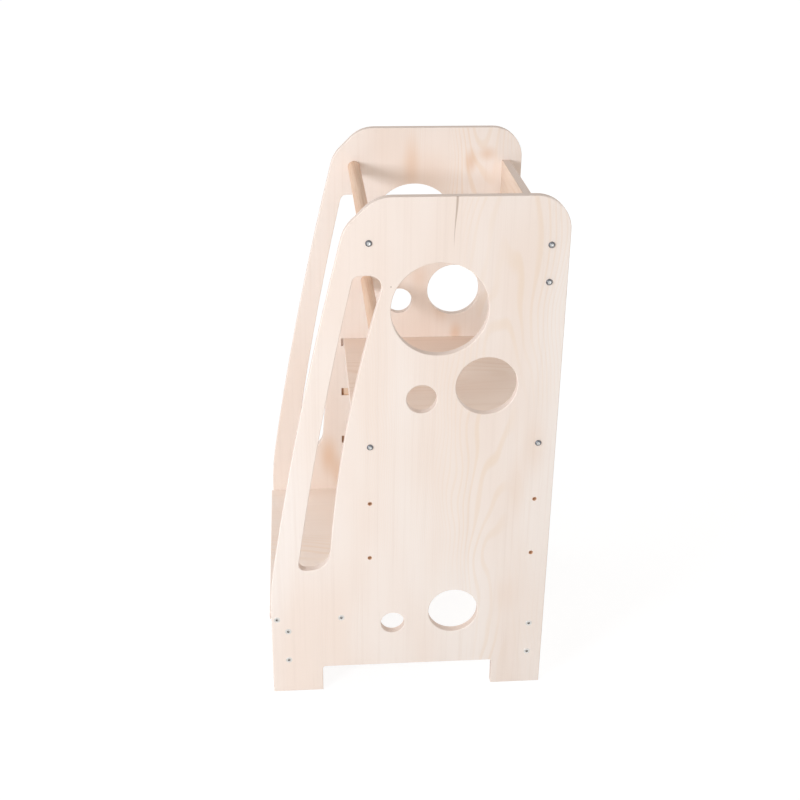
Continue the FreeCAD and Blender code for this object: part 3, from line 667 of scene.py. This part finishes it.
def fastener_piece(name, shape, node, outer_face, side, finishes):
    """Copies a fastener, drawn along X, to each place of a node, and lets the copies stand for it."""
    whole = bmesh.new()
    one = bpy.data.meshes.new(f"{name}_one")
    shape.to_mesh(one)
    for y, z in spots_of(node)[0]:
        copy = bmesh.new()
        copy.from_mesh(one)
        bmesh.ops.scale(copy, verts=copy.verts[:], vec=(side, 1, 1))
        bmesh.ops.translate(copy, verts=copy.verts[:], vec=(outer_face, y, z))
        placed = bpy.data.meshes.new(f"{name}_placed")
        copy.to_mesh(placed)
        copy.free()
        whole.from_mesh(placed)
        bpy.data.meshes.remove(placed)
    bpy.data.meshes.remove(one)
    bmesh.ops.recalc_face_normals(whole, faces=whole.faces[:])
    mesh = bpy.data.meshes.new(name)
    whole.to_mesh(mesh)
    whole.free()
    mesh.shade_smooth()
    mesh.set_sharp_from_angle(angle=SMOOTH_ANGLE)
    for finish in finishes:
        mesh.materials.append(finish)
    piece = bpy.data.objects.new(name, mesh)
    bpy.context.scene.collection.objects.link(piece)
    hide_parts(node)
    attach(piece, "root")
    return piece


SIDES = (("right", 1), ("left", -1))
bolt_steel = plated_steel("bolt_steel", paint(131, 133, 137), paint(101, 103, 107), 0.3)
# The socket is the head's plated steel in a paler colour: a painted highlight, the light that falls into it.
bolt_socket_lit = plated_steel("bolt_socket_painted_highlight", paint(222, 222, 220), paint(205, 205, 204), 0.35)
BOLT_LENGTH, BOLT_SHANK, BOLT_KEY, BOLT_KEY_DEPTH = 0.035, 0.003, 0.004, 0.0022
BOLT_MOUTH, BOLT_FLAT, BOLT_DOME, BOLT_DOME_RADIUS = 0.0026, 0.0031, 0.62, 0.0016
BOLT_RIM, BOLT_EASE, BOLT_CHAMFER, DOME_CORNER = 0.0004, 0.0003, 0.0006, 2
for side_name, side in SIDES:
    outer_face = outer_end(f"{side_name}_side_panel", side)
    for job in ("dowel_bolt", "slat_bolts", "platform_bolts"):
        node = f"{side_name}_{job}"
        head_reach = spots_of(node)[1]
        head_height = abs(outer_end(node, side) - outer_face)
        bolt = turned(
            [
                (head_height, BOLT_MOUTH),
                (head_height, BOLT_FLAT),
                (head_height * BOLT_DOME, head_reach - BOLT_CHAMFER),
                (BOLT_RIM, head_reach),
                (0.0, head_reach - BOLT_EASE),
                (0.0, BOLT_SHANK),
                (BOLT_CHAMFER - BOLT_LENGTH, BOLT_SHANK),
                (-BOLT_LENGTH, BOLT_SHANK - BOLT_CHAMFER),
                (-BOLT_LENGTH, 0.0),
            ],
            rounded={DOME_CORNER: BOLT_DOME_RADIUS},
        )
        cut_key(bolt, head_height, BOLT_KEY, BOLT_KEY_DEPTH)
        fastener_piece(f"button_bolts_{node}", bolt, node, outer_face, side, (bolt_steel, bolt_socket_lit))
        bolt.free()


# ---------------------------------------------------------------------------------------------------------
# Screws. Bright zinc wood screws with countersunk heads, driven flush with the side panels' outer faces
# into the ends of the step and of the two low rails.
# ---------------------------------------------------------------------------------------------------------

screw_zinc = plated_steel("screw_zinc", paint(227, 225, 221), paint(208, 206, 202), 0.3)
# The socket is the head's zinc in a darker colour: painted shade in the recess.
screw_socket_shaded = plated_steel("screw_socket_painted_shade", paint(188, 186, 182), paint(162, 160, 156), 0.4)
SCREW_LENGTH, SCREW_SHANK, SCREW_TIP = 0.05, 0.0025, 0.004
SCREW_KEY, SCREW_KEY_DEPTH, SCREW_MOUTH, SCREW_EASE = 0.004, 0.0025, 0.0027, 0.0002
for side_name, side in SIDES:
    outer_face = outer_end(f"{side_name}_side_panel", side)
    for job in ("step_screws", "front_rail_screws", "rear_rail_screws"):
        node = f"{side_name}_{job}"
        head_reach = spots_of(node)[1]
        screw = turned(
            [
                (0.0, SCREW_MOUTH),
                (0.0, head_reach - SCREW_EASE),
                (-SCREW_EASE, head_reach),
                (SCREW_SHANK - head_reach, SCREW_SHANK),
                (SCREW_TIP - SCREW_LENGTH, SCREW_SHANK),
                (-SCREW_LENGTH, 0.0),
            ],
            rounded={},
        )
        cut_key(screw, 0.0, SCREW_KEY, SCREW_KEY_DEPTH)
        fastener_piece(f"countersunk_screws_{node}", screw, node, outer_face, side, (screw_zinc, screw_socket_shaded))
        screw.free()


# ---------------------------------------------------------------------------------------------------------
# Threaded inserts. Zinc sleeves set into the ends of the platform, the slat and the top dowel, which take
# the bolts. They are sealed in the wood and don't show.
# ---------------------------------------------------------------------------------------------------------

insert_zinc = plated_steel("insert_zinc", paint(186, 186, 178), paint(160, 160, 150), 0.35)
for side_name, _ in SIDES:
    for job in ("dowel_insert", "slat_inserts", "platform_inserts"):
        wear(f"{side_name}_{job}", insert_zinc)


# ---------------------------------------------------------------------------------------------------------
# Studio. A white floor that keeps a faint shadow, a white surround, a soft key lamp at the entry side, and
# three weaker lamps: one above the camera, one on the far side of the entry, and one low behind the stool.
# ---------------------------------------------------------------------------------------------------------

def seen_white(tree):
    """1 for what the eye, a gloss or a glass sees directly, and 0 for light that fills the room."""
    path = put(tree, "ShaderNodeLightPath").outputs
    share = sums(tree, "ADD", path["Is Camera Ray"], path["Is Glossy Ray"], clamp=True)
    return sums(tree, "ADD", share, path["Is Transmission Ray"], clamp=True)


world = bpy.data.worlds.new("studio_room")
bpy.context.scene.world = world
world.use_nodes = True
room = world.node_tree
room.nodes.clear()
ROOM_FILL, ROOM_STRENGTH = (1.0, 0.96, 0.915, 1.0), 0.46
fill = put(room, "ShaderNodeBackground", {"Color": ROOM_FILL, "Strength": ROOM_STRENGTH})
white = put(room, "ShaderNodeBackground", {"Color": (1.0, 1.0, 1.0, 1.0), "Strength": 1.0})
either = put(room, "ShaderNodeMixShader", {0: seen_white(room), 1: fill.outputs[0], 2: white.outputs[0]})
put(room, "ShaderNodeOutputWorld", {"Surface": either.outputs[0]})

FLOOR_REACH = 15.0
GLOW_NEAR, GLOW_FAR, GLOW_START, GLOW_END = 0.87, 0.93, 1.0, 5.0
floor_shape = bmesh.new()
bmesh.ops.create_circle(floor_shape, cap_ends=True, segments=64, radius=FLOOR_REACH)
floor_mesh = bpy.data.meshes.new("studio_floor")
floor_shape.to_mesh(floor_mesh)
floor_shape.free()
studio_floor = bpy.data.objects.new("studio_floor", floor_mesh)
bpy.context.scene.collection.objects.link(studio_floor)
floor_paint = bpy.data.materials.new("floor_paint")
floor_paint.use_nodes = True
tree = floor_paint.node_tree
tree.nodes.clear()
plain = put(tree, "ShaderNodeBsdfDiffuse", {"Color": (0.85, 0.85, 0.85, 1.0)})
shadow_part = put(tree, "ShaderNodeBsdfDiffuse", {"Color": (0.2, 0.2, 0.2, 1.0)})
# Away from the lamps the floor glows a little more, so that it meets the white room without an edge.
floor_place = put(tree, "ShaderNodeTexCoord").outputs["Object"]
reach = put(tree, "ShaderNodeVectorMath", {0: floor_place}, operation="LENGTH").outputs["Value"]
glow = ramp(tree, reach, low=GLOW_START, high=GLOW_END, to_low=GLOW_NEAR, to_high=GLOW_FAR)
lit_part = put(tree, "ShaderNodeEmission", {"Color": (1.0, 1.0, 1.0, 1.0), "Strength": glow})
shown = put(tree, "ShaderNodeAddShader", {0: shadow_part.outputs[0], 1: lit_part.outputs[0]})
either = put(tree, "ShaderNodeMixShader", {0: seen_white(tree), 1: plain.outputs[0], 2: shown.outputs[0]})
put(tree, "ShaderNodeOutputMaterial", {"Surface": either.outputs[0]})
floor_mesh.materials.append(floor_paint)

STOOL_MIDDLE = Vector((0.0, 0.0, 0.5))


def soft_lamp(name, spot, size, watts, colour=(1.0, 1.0, 1.0)):
    """A square lamp that faces the middle of the stool."""
    lamp = bpy.data.lights.new(name, "AREA")
    lamp.color = colour
    lamp.shape = "SQUARE"
    lamp.size = size
    lamp.energy = watts
    holder = bpy.data.objects.new(name, lamp)
    holder.location = spot
    holder.rotation_euler = (STOOL_MIDDLE - Vector(spot)).to_track_quat("-Z", "Y").to_euler()
    bpy.context.scene.collection.objects.link(holder)


soft_lamp("key_lamp", (1.9, -1.9, 1.3), 0.7, 36.5, colour=(0.97, 1.02, 1.1))
soft_lamp("side_lamp", (2.9, 0.0, 1.9), 1.6, 8.0)
soft_lamp("entry_lamp", (-0.9, -2.4, 2.0), 1.6, 18.0)
soft_lamp("back_lamp", (-2.3, 2.0, 1.1), 1.6, 24.0)

# The camera stands on the right of the stool, a little above its top, and looks down and across.
CAMERA_SPOT = Vector((2.0225, -0.1794, 1.4197))
CAMERA_TURN, CAMERA_DIP, CAMERA_ROLL = radians(5.116), radians(25.333), radians(0.803)
PICTURE_SIDE, FOCAL_PIXELS = 800, 1248.31
look = Vector((-cos(CAMERA_TURN) * cos(CAMERA_DIP), sin(CAMERA_TURN) * cos(CAMERA_DIP), -sin(CAMERA_DIP)))
level_right = look.cross(Vector((0, 0, 1))).normalized()
level_up = level_right.cross(look)
right = cos(CAMERA_ROLL) * level_right + sin(CAMERA_ROLL) * level_up
up = -sin(CAMERA_ROLL) * level_right + cos(CAMERA_ROLL) * level_up
lens = bpy.data.cameras.new("camera")
lens.sensor_width = 36.0
lens.lens = lens.sensor_width * FOCAL_PIXELS / PICTURE_SIDE
camera = bpy.data.objects.new("camera", lens)
bpy.context.scene.collection.objects.link(camera)
camera.matrix_world = Matrix.Translation(CAMERA_SPOT) @ Matrix((right, up, -look)).transposed().to_4x4()
bpy.context.scene.camera = camera
bpy.context.scene.view_settings.view_transform = "Standard"
